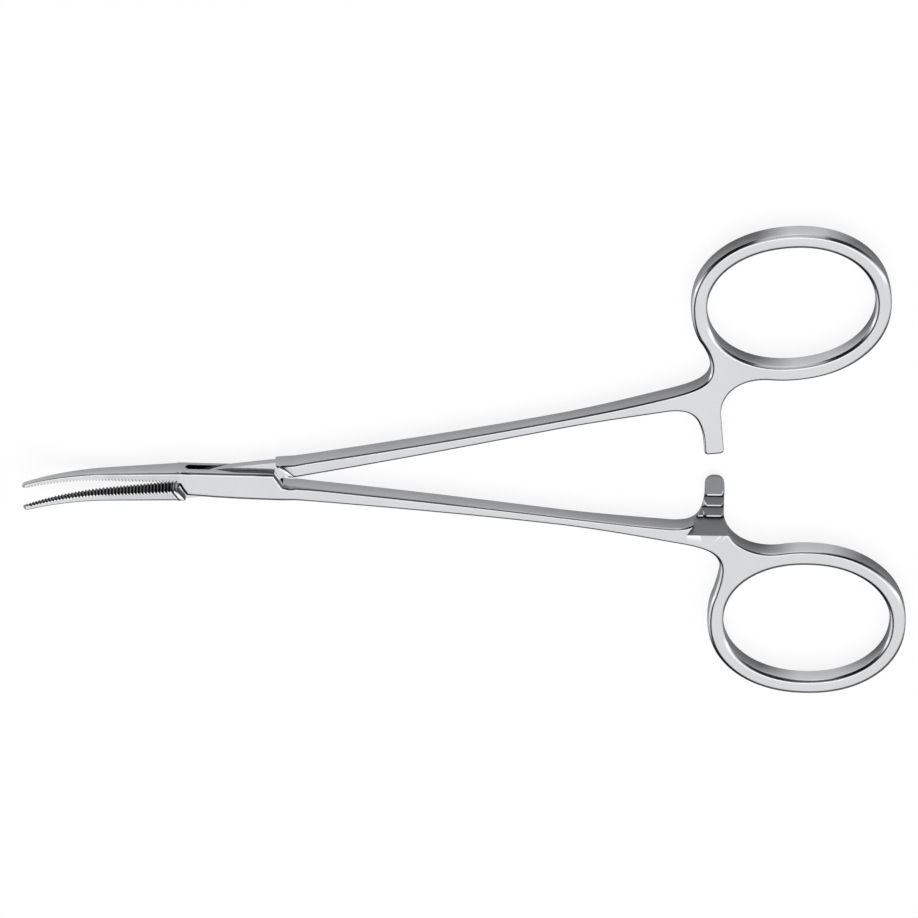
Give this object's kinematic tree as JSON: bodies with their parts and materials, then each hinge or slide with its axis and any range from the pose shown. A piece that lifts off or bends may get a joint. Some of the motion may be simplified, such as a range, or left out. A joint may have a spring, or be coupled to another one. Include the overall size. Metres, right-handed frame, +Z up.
{
  "type": "mosquito forceps",
  "caption": "Small locking haemostatic forceps with finely serrated, curved jaws, a box lock, slim shanks, ratchet bars and oval finger rings.",
  "frame": {"origin": "middle of the bounding box, on the surface that the forceps lie on", "axes": "+X from the jaw tips to the finger rings, +Z up off the table, towards which the jaw tips curve; the ring plane is level"},
  "size_m": [0.124, 0.0716, 0.0053],
  "materials": {
    "box_half_steel": "satin, with brighter edges",
    "tongue_half_steel": "satin, with brighter edges",
    "pin_steel": "satin, ground flush with the box"
  },
  "bodies": {
    "box_half_body": {"box_half": "box_half_steel", "pivot_pin": "pin_steel"},
    "tongue_half_body": {"tongue_half": "tongue_half_steel"}
  },
  "joints": [
    {"name": "box_lock_pivot", "type": "hinge", "parent": "box_half_body", "child": "tongue_half_body", "pos_m": [-0.03298, 0.00003, 0.0018], "axis": [0, 0, 1], "range_deg": [-5.8, 60]}
  ]
}
